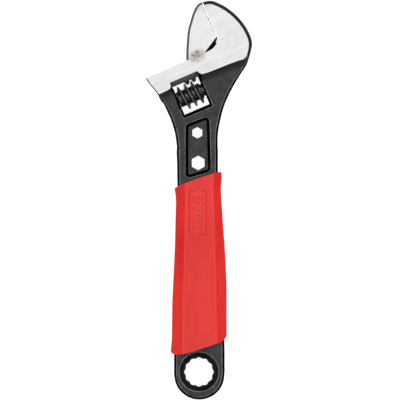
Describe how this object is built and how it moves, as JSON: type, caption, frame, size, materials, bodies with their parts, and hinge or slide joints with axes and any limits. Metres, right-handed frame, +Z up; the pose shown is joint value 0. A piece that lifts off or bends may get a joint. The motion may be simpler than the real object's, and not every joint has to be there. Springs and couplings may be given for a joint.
{
  "type": "adjustable wrench",
  "caption": "Adjustable wrench with a sliding jaw moved by a thumb worm, a ruled shoulder, hexagonal holes in the shank, a red sleeve and a twelve-point ring end.",
  "frame": {"origin": "under the middle of the tool's box, on the surface that it lies on", "axes": "+Y up the handle from the ring end to the head, +Z up through the head's flat cheeks, +X towards the fixed jaw's side"},
  "size_m": [0.0536, 0.2002, 0.0128],
  "materials": {
    "frame": "black satin coat on forged steel, with the flat cheeks of the head ground bright",
    "movable_jaw": "ground steel, dark on its edge and rail",
    "adjusting_worm": "blackened steel",
    "worm_pin": "dull steel",
    "worm_spring": "spring steel",
    "grip_sleeve": "satin red moulded sleeve"
  },
  "bodies": {
    "frame": {"frame": "frame", "grip_sleeve": "grip_sleeve", "worm_pin": "worm_pin", "worm_spring": "worm_spring"},
    "movable_jaw": {"movable_jaw": "movable_jaw"},
    "adjusting_worm": {"adjusting_worm": "adjusting_worm"}
  },
  "joints": [
    {"name": "jaw_slide", "type": "slide", "parent": "frame", "child": "movable_jaw", "axis": [-0.9205, -0.3907, 0], "range_m": [0, 0.024]},
    {"name": "worm_spin", "type": "hinge", "parent": "frame", "child": "adjusting_worm", "pos_m": [-0.00438, 0.05271, 0.0064], "axis": [0.9205, 0.3907, 0], "range_deg": [0, 2400.5]}
  ],
  "couplings": [
    {"joint": "worm_spin", "follows": "jaw_slide", "rad_per_m": 1745.3}
  ]
}
